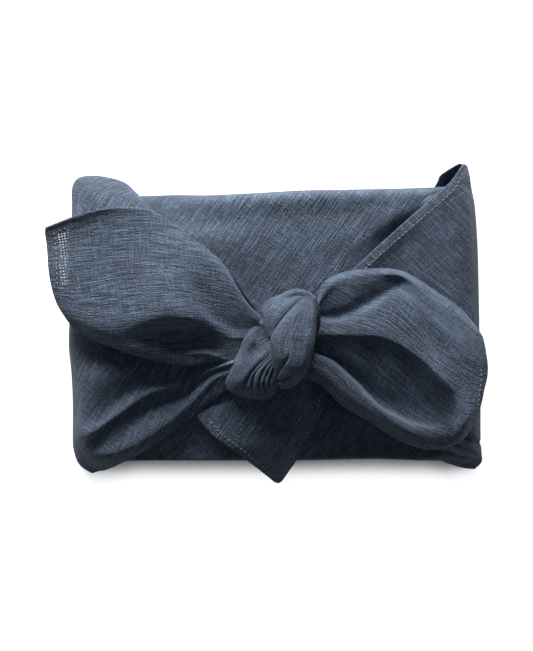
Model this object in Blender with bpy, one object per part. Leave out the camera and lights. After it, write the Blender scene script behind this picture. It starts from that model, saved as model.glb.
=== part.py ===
"""A furoshiki wrap: one hemmed square of slub linen folded round a flat parcel and tied in front.

The wrap lies on its back, knot up. +X runs to the right of the front, +Y to its top edge and +Z up
from the surface that it rests on. The origin is on that surface, under the middle of the outline.
The cloth is one piece, so the wrap is one closed solid: the filled parcel, its layers, the knot and
the two tied ends are worked out from the tables below, a row for each fold, and joined.
Lengths in the tables are millimetres.
"""

import math
from collections import namedtuple

import bmesh
import bpy
from mathutils import Vector

MM = 0.001
CLOTH = 2.2  # thickness of a free layer of cloth, with its hem
FACE = 34.5  # height of the parcel's front along its shoulders
CROWN = 3.0  # how much higher the middle of the front stands
CROWN_HALF_X = 140.0
CROWN_HALF_Y = 92.0
SPINE_X = (-62.0, 70.0)  # the line along the middle of the parcel that its front closes on
HEART = 0.9  # how far out the filled layers reach down inside the parcel, from a middle of their own
HEART_Z = 5.0  # the height they reach, and its rise with their own height
HEART_RISE = 0.25

FLAP_MIDDLE = Vector((8, 0))
LEFT_MIDDLE = Vector((-70, 0))
RIGHT_MIDDLE = Vector((100, -10))
KNOT_MIDDLE = Vector((4, -14))
KNOT_CORE = Vector((5, -15, 36))  # the middle of what the knot's lobes are wound round, and its size
KNOT_CORE_SIZE = Vector((21, 24, 21))

EDGE_STEPS = 132  # corners round the parcel's outline
ROUND_STEPS = 3  # rings of the rounded edge, below and above its widest line
FRONT_RINGS = 4

LINEN = (0.085, 0.115, 0.165, 1.0)
LINEN_ROUGHNESS = 0.92

# The parcel's outline, anticlockwise from the middle of the right side. belly is the height of the
# widest line, shoulder the height where the front starts, and inset how far in it starts.
Place = namedtuple("Place", "name x y belly shoulder inset")
OUTLINE = (
    Place("right side", 141.5, 0, 16, 36, 12),
    Place("right side, upper", 139.5, 45, 16, 36, 12),
    Place("below the right peak", 138, 78, 17, 35, 12),
    Place("right peak's root", 132, 89, 18, 33, 11),
    Place("top edge, right", 112, 91, 17, 34, 10),
    Place("top edge, right of the middle", 70, 88.5, 17, 34, 11),
    Place("top edge, middle", 20, 87.5, 17, 34, 11),
    Place("top edge, left of the middle", -40, 85.5, 17, 34, 11),
    Place("top edge, left", -80, 85, 17, 34, 10),
    Place("lump, right foot", -91, 91, 17, 31, 9),
    Place("lump, right", -101, 97, 16, 28, 9),
    Place("lump, top", -114, 98.5, 15, 26, 10),
    Place("lump, left", -126, 94, 15, 27, 11),
    Place("left side, upper", -129.5, 78, 15, 32, 12),
    Place("left side, under the ear", -130, 40, 16, 35, 12),
    Place("left side", -131, -12, 16, 35, 12),
    Place("left side, waist", -128, -45, 16, 35, 12),
    Place("left side, lower", -129.5, -75, 15, 34, 12),
    Place("left foot, side", -127.5, -91, 13, 28, 12),
    Place("left foot", -117, -99, 10, 22, 10),
    Place("left foot, inner", -104, -96, 12, 24, 9),
    Place("bottom edge, left", -88, -91.5, 16, 31, 9),
    Place("bottom edge, left of the middle", -40, -91, 17, 33, 9),
    Place("bottom edge, middle", 20, -91, 17, 33, 9),
    Place("bottom edge, right of the middle", 70, -90, 17, 33, 9),
    Place("bottom edge, right", 105, -91, 16, 31, 9),
    Place("right foot, inner", 124, -94.5, 12, 25, 9),
    Place("right foot", 138, -95.5, 11, 23, 9),
    Place("right foot, side", 142.5, -84, 13, 29, 11),
    Place("right side, notch", 141.5, -56, 16, 35, 12),
)

# The flap that comes over the top edge and ends in the corner of the cloth below the knot.
# It lies under the other layers, and its two side rows are hemmed edges.
Down = namedtuple("Down", "name edge shoulder upper middle low brow corner")
TOP_FLAP = (
    Down(
        "left hem",
        (-84, 86, 14), (-84, 83, 29), (-78, 46, 37), (-68, -10, 38), (-52, -63, 37), (-17, -89, 33), (4, -104.5, 19),
    ),
    Down(
        "left",
        (-46, 86.5, 14), (-46, 81, 32), (-39, 50, 41), (-28, -5, 40), (-21, -60, 38.5), (-5, -89, 34), (6, -105.4, 19),
    ),
    Down(
        "middle",
        (10, 88, 14), (10, 82, 32), (10, 50, 40.5), (8, -5, 40), (2, -60, 38.5), (4, -90, 33.5), (7.5, -105.9, 19),
    ),
    Down(
        "right",
        (62, 89, 14), (61, 84, 32), (56, 52, 38), (40, 0, 39), (22, -60, 38), (11, -90, 33.5), (9, -105.4, 19),
    ),
    Down(
        "right hem",
        (112, 91.5, 14), (110, 87, 31), (98, 60, 36), (64, 10, 37), (37, -60, 37), (20.5, -86, 33.5), (11, -103.5, 19),
    ),
)

# The layer from the left side, gathered into the knot. A row is a fold from the side to the knot.
Across = namedtuple("Across", "name flank shoulder brow middle near knot")
LEFT_WRAP = (
    Across("edge", (-112, 95, 15), (-97, 88, 29), (-84, 80, 37), (-52, 59, 41.5), (-20, 28, 45), (0, 4, 48)),
    Across("band", (-124, 93, 14), (-108, 86, 31), (-92, 72, 38), (-60, 48, 41), (-26, 20, 43), (-3, 0, 48)),
    Across("under the end", (-131, 52, 14), (-126, 50, 31), (-112, 46, 38), (-74, 26, 40), (-34, 0, 41), (-8, -10, 46)),
    Across("dip", (-132, -14, 14), (-126, -15, 31), (-113, -18, 37.5), (-78, -27, 38), (-46, -25, 39), (-16, -22, 45)),
    Across("panel", (-129, -48, 14), (-124, -48, 31), (-112, -48, 38), (-88, -41, 38), (-57, -30, 40), (-18, -25, 46)),
    Across("first ridge", (-130, -72, 14), (-126, -71, 30), (-113, -67, 39), (-84, -47, 46), (-56, -34, 47), (-20, -28, 48)),
    Across("trough", (-129, -81, 13), (-124, -79, 27), (-112, -76, 34), (-82, -58, 37.5), (-55, -42, 39), (-21, -31, 44)),
    Across("second ridge", (-128, -91, 12), (-121, -88, 27), (-107, -83, 37), (-76, -68, 46), (-50, -48, 47), (-21, -34, 47)),
    Across("lower roll", (-118, -99, 9), (-108, -96, 19), (-92, -91, 29), (-65, -77, 37), (-41, -54, 41), (-21, -38, 44)),
)

# The layer from the right side. Its first row is a hemmed edge that stands off the flap below it.
RIGHT_WRAP = (
    Across("hemmed edge", (138, 103, 18), (129, 97, 32), (117, 89.5, 40), (84, 60, 45), (56, 35, 45), (28, 8, 46)),
    Across("stitch line", (140, 93, 16), (134, 90, 31), (123, 84, 39.5), (92, 54, 44), (62, 29, 44), (30, 3, 46)),
    Across("slack", (141.5, 72, 14), (137, 70, 31), (125, 62, 37.5), (101, 40, 39.5), (70, 12, 40), (32, -4, 44)),
    Across("side panel", (142.5, 20, 14), (138, 20, 31), (127, 18, 37), (108, 6, 38), (76, -12, 38), (32, -14, 44)),
    Across("under the end", (142.5, -40, 14), (137, -40, 30), (127, -40, 36), (104, -38, 37), (74, -34, 38), (32, -22, 44)),
    Across("foot crease", (142, -75, 13), (138, -74, 27), (129, -72, 33), (108, -64, 36), (74, -46, 37), (30, -28, 43)),
    Across("foot puff", (143.5, -88, 11), (138, -86, 26), (130, -82, 33), (110, -72, 38), (74, -52, 38), (28, -31, 43)),
    Across("lower edge", (141, -97, 8), (133, -94, 20), (121, -89, 28), (104, -80, 34), (72, -57, 36), (26, -35, 41)),
)

# The pointed pocket at the upper right corner, where the layer turns back over itself. A row runs
# round it, from the back layer's edge over the outer fold to the hemmed edge in front.
Round = namedtuple("Round", "name back under fold over front")
PEAK = (
    Round("root", (106, 80, 14), (124, 78, 6), (137.5, 78, 17), (126, 78, 34), (104, 76, 38)),
    Round("mouth", (114, 93, 15), (125, 91, 9), (136, 92, 18), (129, 91, 32), (117, 89.5, 37)),
    Round("middle", (117, 98.5, 17), (126, 97.5, 13), (134.5, 98, 20), (130.5, 97.5, 30), (125, 96.5, 34)),
    Round("tip", (128, 105, 20), (130, 105, 18.5), (132.5, 104.5, 21), (131.5, 104.5, 25), (129.5, 103.5, 27)),
)

# The two tied ends. A row is a fold that leaves the knot and runs out to the end's edge.
Out = namedtuple("Out", "name knot near middle far rim")
LEFT_END = (
    Out("upper hem", (-2, 3, 53), (-24, 32, 51), (-54, 60, 50), (-90, 77.5, 47), (-146.8, 63, 43)),
    Out("first trough", (-8, 0, 50), (-31, 20, 46), (-58, 42, 51), (-96, 57, 53), (-146, 46, 42)),
    Out("crest", (-14, -9, 55), (-36, 3, 58), (-62, 18, 60), (-100, 32, 56), (-144, 32, 41)),
    Out("slope", (-18, -16, 49), (-35, -8, 48), (-61, 3, 50), (-101, 12, 53), (-140, 14, 41)),
    Out("deep trough", (-20, -21, 45), (-40, -16, 43), (-66, -9, 42.5), (-104, 0, 46), (-136, 7, 40)),
    Out("lower bulge", (-21, -24, 49), (-43, -21.5, 51), (-74, -18.5, 50), (-107, -9.5, 46), (-131, 1, 40)),
    Out("lower edge", (-22, -26.5, 46), (-44, -27, 44), (-78, -24.5, 42.5), (-109, -14.5, 41.5), (-127, -4, 39)),
)

Scoop = namedtuple("Scoop", "name knot near middle far rim hem")
RIGHT_END = (
    Scoop("top edge", (34, 19, 46), (43, 30, 44), (79, 36.7, 43), (110, 23, 42), (131, 7, 40), (139, -2, 39)),
    Scoop("top roll", (34, 15, 52), (46, 26, 53), (80, 32, 51), (110, 17, 49), (131, 1, 45), (142, -8, 41)),
    Scoop("little trough", (36, 9, 48), (55, 15, 46), (84, 23, 49), (112, 8, 50), (133, -8, 47), (144, -14, 42)),
    Scoop("second crest", (36, 2, 53), (56, 8, 57), (87, 14, 57), (114, -4, 55), (134, -20, 50), (145.5, -23, 43)),
    Scoop("panel", (34, -4, 54), (54, 0, 58), (87, 0, 60), (114, -16, 59), (133, -34, 54), (146, -35, 46)),
    Scoop("rim", (33, -9, 53), (52, -9, 59), (85, -12, 62), (112, -27, 62), (128, -45, 59), (144, -46, 50)),
    Scoop("hollow wall", (33, -13, 48), (54, -17, 48), (84, -20, 49), (110, -36, 51), (130, -55, 55), (141, -57, 49)),
    Scoop("hollow floor", (33, -17, 46), (55, -26, 44), (81, -38, 43), (106, -53, 45), (129, -64, 50), (138, -66, 47)),
    Scoop("strand's crest", (32, -20, 51), (53, -32, 54), (73, -48, 54), (97, -66, 49), (123, -71, 48), (133, -74, 43)),
    Scoop("strand", (30, -29, 52), (49, -42, 52), (68, -57, 51), (92, -72, 48), (115, -77, 46), (126, -80, 41)),
    Scoop("lower edge", (27, -38, 46), (46, -51, 43), (66, -65, 42), (88, -78, 41), (105, -83.5, 40), (116, -84, 39)),
)

# The knot is three lobes over one another. A row is a fold, and its points run over the lobe.
Over = namedtuple("Over", "name start rise top fall end")
KNOT_FRONT = (
    Over("left edge", (22, 15, 55), (11, 5, 60), (3, -8, 61), (3, -24, 58), (8, -39, 47)),
    Over("left crest", (26, 17, 57), (18, 6, 66), (11, -8, 69), (11, -25, 66), (13, -41, 48)),
    Over("right crest", (29, 17, 56), (27, 6, 65), (23, -8, 68), (21, -25, 64), (18, -40, 47)),
    Over("right edge", (32, 15, 48), (33, 4, 52), (33, -9, 52), (30, -26, 49), (22, -38, 43)),
)
KNOT_BACK = (
    Over("outer edge", (-7, -9, 48), (-4, 7, 50), (3, 16, 51), (15, 22, 49), (30, 18, 46)),
    Over("crest", (-1, -8, 59), (3, 6, 62), (10, 13, 62), (19, 17, 58), (30, 17, 51)),
    Over("inner edge", (5, -8, 59), (10, 3, 62), (16, 9, 61), (24, 13, 57), (30, 15, 51)),
)
Pleat = namedtuple("Pleat", "name root crest hem")
KNOT_PLEATS = (
    Pleat("upper edge", (4, -8, 57), (-6, -3, 58), (-12, 2, 45)),
    Pleat("upper lobe", (8, -12, 60), (-8, -13, 61), (-20, -15, 45)),
    Pleat("broad lobe", (8, -16, 61), (-12, -25, 60), (-26, -33, 43)),
    Pleat("broad lobe, low", (9, -18, 61), (-13, -33, 59), (-26, -44, 42)),
    Pleat("first trough", (9, -20, 60), (-9, -35, 54.5), (-17, -48, 41)),
    Pleat("first pleat", (10, -22, 61), (-6, -37, 58.5), (-9, -51, 42)),
    Pleat("second trough", (10, -24, 60), (-3, -38, 54.5), (-5, -49, 42)),
    Pleat("second pleat", (11, -26, 61), (0, -39, 58.5), (0, -51, 42)),
    Pleat("third trough", (12, -28, 59), (3, -39, 55), (3, -48, 42)),
    Pleat("third pleat", (13, -31, 60), (7, -39, 58), (7, -47, 42)),
)


def clear_scene():
    for obj in list(bpy.data.objects):
        bpy.data.objects.remove(obj)


def linen():
    """Slate-blue linen, dry and matt."""
    material = bpy.data.materials.new("linen")
    material.use_nodes = True
    shader = material.node_tree.nodes["Principled BSDF"]
    shader.inputs["Base Color"].default_value = LINEN
    shader.inputs["Roughness"].default_value = LINEN_ROUGHNESS
    shader.inputs["Metallic"].default_value = 0.0
    return material


def spline(points, count, closed=False):
    """count points on the smooth curve through the given vectors, evenly spread over its spans."""
    last = len(points) if closed else len(points) - 1

    def at(i):
        if closed:
            return points[i % len(points)]
        if i < 0:
            return points[0] * 2 - points[1]
        if i > last:
            return points[last] * 2 - points[last - 1]
        return points[i]

    made = []
    for k in range(count):
        place = k * last / (count if closed else count - 1)
        i = min(int(place), last - 1)
        t = place - i
        a, b, c, d = (at(i + j) for j in (-1, 0, 1, 2))
        made.append(
            (b * 2 + (c - a) * t + (a * 2 - b * 5 + c * 4 - d) * t**2 + (b * 3 - a - c * 3 + d) * t**3) / 2
        )
    return made


def net(folds, across, along):
    """A grid of points on the smooth surface through a table's rows: across lines of along points."""
    rows = [spline([Vector(point) for point in fold[1:]], along) for fold in folds]
    columns = [spline(list(column), across) for column in zip(*rows)]
    return [list(line) for line in zip(*columns)]


def grid_faces(mesh, corners, flip=False):
    """Quads between neighbouring corners of a grid."""
    for line, following in zip(corners, corners[1:]):
        for i in range(len(line) - 1):
            quad = (line[i], line[i + 1], following[i + 1], following[i])
            mesh.faces.new(quad[::-1] if flip else quad)


def rim_loop(corners):
    """The corners round a grid's edge, in order."""
    right = [line[-1] for line in corners[1:]]
    left = [line[0] for line in corners[1:-1]]
    return corners[0] + right + corners[-1][-2::-1] + left[::-1]


def to_object(name, mesh):
    bmesh.ops.recalc_face_normals(mesh, faces=mesh.faces)
    bmesh.ops.scale(mesh, vec=(MM, MM, MM), verts=mesh.verts)
    data = bpy.data.meshes.new(name)
    mesh.to_mesh(data)
    mesh.free()
    obj = bpy.data.objects.new(name, data)
    bpy.context.scene.collection.objects.link(obj)
    return obj


def layered(name, points, backs):
    """A closed solid between two grids of points."""
    mesh = bmesh.new()
    front = [[mesh.verts.new(point) for point in line] for line in points]
    back = [[mesh.verts.new(point) for point in line] for line in backs]
    grid_faces(mesh, front)
    grid_faces(mesh, back, flip=True)
    top, bottom = rim_loop(front), rim_loop(back)
    for i, corner in enumerate(top):
        mesh.faces.new((corner, bottom[i], bottom[i - 1], top[i - 1]))
    return to_object(name, mesh)


def normals(points):
    """The direction square to a grid's surface at each of its points."""

    def slope(line, i):
        return line[min(i + 1, len(line) - 1)] - line[max(i - 1, 0)]

    columns = [list(column) for column in zip(*points)]
    return [
        [slope(line, j).cross(slope(columns[j], i)).normalized() for j in range(len(line))]
        for i, line in enumerate(points)
    ]


def sheet(name, folds, across, along, lean=0.0):
    """A free layer of cloth, centred on its folds. lean turns its thickness towards upright."""
    points = net(folds, across, along)
    upright = Vector((0, 0, lean))
    off = [[(normal + upright).normalized() * (CLOTH / 2) for normal in line] for line in normals(points)]
    above = [[p + n for p, n in zip(*lines)] for lines in zip(points, off)]
    below = [[p - n for p, n in zip(*lines)] for lines in zip(points, off)]
    return layered(name, above, below)


def filled(name, folds, across, along, middle):
    """A layer over something solid: it reaches down from its folds to a place inside the parcel."""

    def heart(point):
        pulled = middle + (point.xy - middle) * HEART
        return Vector((pulled.x, pulled.y, HEART_Z + HEART_RISE * point.z))

    points = net(folds, across, along)
    return layered(name, points, [[heart(point) for point in line] for line in points])


def front_height(x, y):
    return FACE + CROWN * (1 - (x / CROWN_HALF_X) ** 2) * (1 - (y / CROWN_HALF_Y) ** 2)


def on_spine(place):
    return Vector((min(max(place.x, SPINE_X[0]), SPINE_X[1]), 0))


def parcel(name):
    """The wrapped parcel: a flat underside, rounded edges and a crowned front."""
    edge = spline([Vector((place.x, place.y)) for place in OUTLINE], EDGE_STEPS, closed=True)
    sizes = spline([Vector(place[3:]) for place in OUTLINE], EDGE_STEPS, closed=True)
    inward = [(on_spine(place) - place).normalized() for place in edge]
    rings = []
    for k in range(-ROUND_STEPS, ROUND_STEPS + 1):
        turn = math.radians(90 * k / ROUND_STEPS)
        ring = []
        for place, size, inwards in zip(edge, sizes, inward):
            belly, shoulder, inset = size
            reach = belly if k < 0 else shoulder - belly
            flat = place + inwards * inset * (1 - math.cos(turn))
            ring.append((flat.x, flat.y, belly + reach * math.sin(turn)))
        rings.append(ring)
    for k in range(1, FRONT_RINGS):
        share = k / FRONT_RINGS
        ring = []
        for x, y, shoulder in rings[2 * ROUND_STEPS]:
            inner_x, inner_y = Vector((x, y)).lerp(on_spine(Vector((x, y))), share)
            blend = min(1, 2.5 * share)
            ring.append((inner_x, inner_y, shoulder + (front_height(inner_x, inner_y) - shoulder) * blend))
        rings.append(ring)
    mesh = bmesh.new()
    loops = [[mesh.verts.new(point) for point in ring] for ring in rings]
    for ring, following in zip(loops, loops[1:]):
        for i in range(EDGE_STEPS):
            mesh.faces.new((ring[i - 1], ring[i], following[i], following[i - 1]))
    mesh.faces.new(loops[0][::-1])
    top = mesh.faces.new(loops[-1])
    bmesh.ops.triangulate(mesh, faces=[top])
    return to_object(name, mesh)


def core(name):
    """The tight middle of the knot."""
    mesh = bmesh.new()
    bmesh.ops.create_icosphere(mesh, subdivisions=2, radius=1.0)
    bmesh.ops.scale(mesh, vec=KNOT_CORE_SIZE, verts=mesh.verts)
    bmesh.ops.translate(mesh, vec=KNOT_CORE, verts=mesh.verts)
    return to_object(name, mesh)


def join(body, layers):
    """Joins the layers to the body, so that the cloth is one closed solid."""
    for layer in layers:
        layer.hide_render = True
        layer.display_type = "WIRE"
        union = body.modifiers.new(layer.name, "BOOLEAN")
        union.operation = "UNION"
        union.solver = "EXACT"
        union.object = layer


def main():
    clear_scene()
    wrap = parcel("furoshiki")
    wrap.data.materials.append(linen())
    join(
        wrap,
        [
            filled("top_flap", TOP_FLAP, 13, 19, FLAP_MIDDLE),
            filled("left_wrap", LEFT_WRAP, 29, 16, LEFT_MIDDLE),
            filled("right_wrap", RIGHT_WRAP, 22, 17, RIGHT_MIDDLE),
            sheet("peak", PEAK, 7, 13),
            core("knot_core"),
            filled("knot_back", KNOT_BACK, 9, 15, KNOT_MIDDLE),
            filled("knot_pleats", KNOT_PLEATS, 37, 9, KNOT_MIDDLE),
            filled("knot_front", KNOT_FRONT, 13, 15, KNOT_MIDDLE),
            sheet("left_end", LEFT_END, 22, 18, lean=0.7),
            sheet("right_end", RIGHT_END, 31, 20, lean=0.35),
        ],
    )


main()
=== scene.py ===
"""A furoshiki wrap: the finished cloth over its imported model, and the studio it is shown in.

One hemmed square of slub linen is folded round a flat parcel and tied in front. Each layer that shows
is a thin sheet on the folds named in its table. The frame's units are metres, and the tables' are
millimetres: +X to the right of the front, +Y to its top edge and +Z up from the surface below.
"""

import math

import bmesh
import bpy
import numpy as np
from bpy.props import FloatProperty, FloatVectorProperty, PointerProperty
from mathutils import Matrix, Vector, noise


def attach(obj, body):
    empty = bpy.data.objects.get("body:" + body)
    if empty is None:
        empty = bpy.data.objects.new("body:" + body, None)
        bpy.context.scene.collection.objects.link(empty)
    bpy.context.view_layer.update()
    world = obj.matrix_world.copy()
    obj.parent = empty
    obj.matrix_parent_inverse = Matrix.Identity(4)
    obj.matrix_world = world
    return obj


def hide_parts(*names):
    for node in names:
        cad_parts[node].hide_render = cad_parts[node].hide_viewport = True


bl_info = {
    "name": "Furoshiki wrap",
    "version": (1, 0, 0),
    "blender": (4, 5, 0),
    "location": "View3D > Sidebar > Furoshiki",
    "description": "Makes a linen furoshiki wrap over its packed model",
    "category": "Add Mesh",
}

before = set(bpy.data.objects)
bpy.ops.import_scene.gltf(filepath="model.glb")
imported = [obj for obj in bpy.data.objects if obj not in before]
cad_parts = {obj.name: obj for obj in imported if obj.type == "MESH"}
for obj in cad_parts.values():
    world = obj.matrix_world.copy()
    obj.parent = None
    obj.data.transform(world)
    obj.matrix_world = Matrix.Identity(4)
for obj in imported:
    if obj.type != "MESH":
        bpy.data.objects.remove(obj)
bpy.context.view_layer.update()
NODE = "furoshiki"
MM = 0.001

LEFT_END = (
    ("upper edge", (-3.3, 3.9, 53), (-13.9, 15.9, 51), (-29.8, 41.1, 48), (-54.4, 60.4, 46),
     (-77.6, 75, 45.2), (-100.9, 76.7, 44.6), (-124.1, 72, 45), (-147, 63.4, 44.5)),
    ("upper roll", (-4.3, 2.6, 53.5), (-15.2, 13.9, 52.8), (-33, 37.7, 52.3), (-56.9, 54.3, 50),
     (-78.2, 67.6, 46.3), (-101.6, 71.1, 43.3), (-124.2, 66.4, 43), (-147.6, 59.8, 43)),
    ("roll's side", (-5.3, 1, 53), (-17.5, 9.6, 51.6), (-36.7, 27.1, 52.6), (-57.4, 42.3, 54),
     (-78.8, 55.7, 48), (-102.2, 59.8, 43.8), (-124.2, 57.1, 42.4), (-146.7, 53.2, 42)),
    ("upper valley", (-6.9, -1.7, 50.5), (-20.2, 3.6, 49.4), (-38.7, 17.2, 51.3), (-56.1, 31, 56.5),
     (-79.4, 43.7, 51), (-102.8, 47.1, 45.3), (-124.1, 45.8, 43.8), (-146, 45.2, 42.5)),
    ("upper slope", (-9.2, -4.7, 48.8), (-23.2, -2.3, 47.3), (-39.3, 8.6, 51.2), (-54, 19.1, 58),
     (-77.5, 29, 55.8), (-101.4, 32.5, 48), (-122.7, 31.8, 46), (-145.3, 35.2, 43.4)),
    ("crest", (-13.9, -9.3, 48), (-25.2, -8.3, 47.8), (-39.6, 1.6, 52.2), (-52.4, 6.9, 58.9),
     (-73.7, 10.2, 60.2), (-96.5, 9.2, 52.4), (-119.9, 11.2, 48.6), (-143.4, 23.6, 43.4)),
    ("crest's far side", (-15.9, -11.9, 46.7), (-26.2, -11.6, 46.7), (-41, -4.6, 49.8), (-53.4, 1, 57),
     (-75.1, 1.3, 58.8), (-97.2, 0, 52.5), (-119.2, 2.6, 49), (-140.1, 12.9, 43.2)),
    ("dent's floor", (-18.5, -15.9, 45.4), (-29.2, -18.6, 44.5), (-43.8, -12.6, 43.8), (-59.6, -8, 47),
     (-79.4, -7.3, 51.4), (-99.3, -8.6, 49.5), (-118.3, -4, 47), (-135.8, 5.6, 43)),
    ("lower bulge", (-20.2, -19.9, 44.3), (-32.5, -21.9, 44), (-49, -20.2, 46.4), (-67.5, -18.6, 48.7),
     (-86.1, -16.6, 48.7), (-103.5, -13, 45), (-117.2, -7.6, 43), (-131.6, -0.3, 41.4)),
    ("lower edge", (-22.6, -24.6, 43), (-35.2, -25.9, 42.2), (-51.7, -28.2, 45), (-71, -25.9, 45.8),
     (-89.6, -20.6, 44.2), (-105.7, -15.3, 41.4), (-116.4, -11, 40.2), (-128.1, -4.7, 39.5)),
    ("turned under", (-23.2, -23.3, 42), (-35.9, -23.9, 41), (-52.5, -25.9, 42), (-71.1, -23.6, 42.5),
     (-89.7, -18.3, 41.5), (-105.8, -13, 39), (-116.5, -9, 38.3), (-127.5, -3, 38)),
)

RIGHT_END = (
    ("top edge", (33.2, 15.2, 47), (37.2, 26.5, 46), (49.1, 33.5, 45), (68.4, 36.3, 44), (88.4, 35, 43),
     (105, 26.4, 42), (118.4, 17.4, 41.5), (130.4, 8, 41), (141, -4, 41)),
    ("top roll", (34.4, 13.6, 50.5), (40.4, 24.1, 52), (51.6, 30.4, 52.6), (68.8, 33.4, 52.6), (88, 31.9, 52),
     (103.9, 22.5, 51.5), (116.5, 13.2, 50), (128.7, 4, 47), (143.5, -8.6, 44)),
    ("top lobe", (35.1, 11.2, 49.5), (43, 19.8, 51.2), (52.9, 25.1, 53.6), (69.1, 28.4, 53.4),
     (88, 28.8, 50.9), (102.4, 17.8, 54), (115, 8.6, 53), (127.5, -0.3, 49.5), (144.7, -12.6, 44.5)),
    ("lobe's side", (35.1, 7.9, 48.3), (44.1, 10.6, 49.2), (53.9, 14.5, 51.7), (70.8, 23.5, 51.8),
     (88.1, 26.8, 50.2), (101.7, 14.5, 55), (114.3, 5.3, 54), (127.1, -4, 51), (145.4, -16.3, 45)),
    ("tucked valley", (35.5, 4.3, 47), (45.1, 3.6, 46.8), (55, 6.9, 49.2), (72.9, 16.2, 49.4),
     (88, 22.8, 50.8), (101.3, 11.9, 56), (113.6, 2, 55.3), (127, -8, 52.5), (145.8, -19.6, 45.3)),
    ("second crest", (35.4, 0.6, 50.3), (45.3, 0.1, 51.6), (55.9, 2.8, 54.2), (73, 11.5, 55),
     (87.8, 17.8, 55.8), (100.9, 7.9, 57.2), (112.8, -2, 57), (127.6, -12.6, 53.8), (146.4, -23.2, 45.7)),
    ("panel", (34.8, -3.3, 51), (45.6, -3.7, 52.6), (56.8, -1.7, 56), (73.3, 4.9, 57), (88.4, 7.2, 58.5),
     (101.9, -4.6, 58.6), (114.2, -16.5, 57), (128.8, -21.1, 55), (146.9, -27.5, 46)),
    ("rim", (33.5, -7.3, 50.5), (45.3, -7.6, 52.5), (57.4, -7.3, 56), (73.9, -6.9, 58), (88.3, -12.2, 60),
     (102.7, -22.7, 61), (115.5, -35.2, 62), (128.4, -40.9, 56.5), (146.9, -33.5, 46.5)),
    ("rim's far side", (32.8, -9.9, 48.8), (45.4, -10.3, 50.6), (58.2, -10.6, 54.2), (74.6, -10.6, 56.4),
     (89.7, -16.8, 58.5), (104.1, -27.4, 59.8), (116.6, -41.2, 60.3), (128.7, -48.2, 57),
     (145.9, -39.1, 47)),
    ("hollow", (32.5, -13.3, 46.5), (45.8, -15.3, 48), (58.9, -16.6, 50.8), (75.4, -17.9, 52),
     (91.9, -25.1, 53.3), (105.7, -37, 53.8), (117.9, -48.9, 54.3), (129.3, -55.1, 57.6),
     (144.5, -44.4, 47.5)),
    ("hollow, low", (32.2, -16.9, 44.5), (45.8, -20.6, 45.5), (59.4, -27.2, 46.8), (76.3, -37.8, 46.3),
     (93.5, -46.4, 47.2), (108, -53.3, 48.6), (120.1, -58.6, 51.5), (130.2, -61, 58), (143.4, -50.1, 47.5)),
    ("slit", (31.9, -19.6, 43.5), (44.9, -24.6, 42.5), (58.9, -36.9, 40.6), (75.9, -53.6, 40.4),
     (93.7, -62.1, 43.6), (108.8, -66.3, 47), (121.1, -65.5, 52), (130.6, -66.3, 57.5), (141.9, -55.7, 47)),
    ("strand's edge", (31.5, -20.9, 50), (43.3, -26.1, 52.5), (56.8, -38.5, 54.3), (74.4, -55.5, 53.4),
     (92, -65.9, 50.3), (108, -70.5, 49.7), (120.8, -70.8, 51.5), (129.8, -71.7, 54.5), (140, -63, 46)),
    ("strand", (29.5, -25.8, 51.2), (41.7, -33.1, 53.4), (54.8, -45.9, 54.8), (71.1, -59.8, 53.6),
     (89.4, -70.8, 50.4), (106, -75.5, 49.2), (119.2, -75.5, 50), (128.7, -75.4, 51), (136.7, -69, 45.5)),
    ("strand's side", (27.2, -31.1, 49.5), (39.1, -38.4, 51.3), (52.3, -50.6, 51.6), (68.9, -62.2, 50.3),
     (87.2, -73.3, 47), (102.8, -79.6, 46.3), (115.8, -80.9, 46.5), (126.3, -78.9, 47), (134.5, -72, 44.5)),
    ("lower edge", (24.6, -35.8, 46), (36.6, -42.8, 43.5), (49.9, -55.5, 42.5), (67.2, -65.8, 42),
     (85.1, -77.1, 42), (99.7, -83.1, 42), (112.4, -84.4, 42), (123.7, -81.4, 42), (132.6, -75.4, 42)),
)

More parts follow.
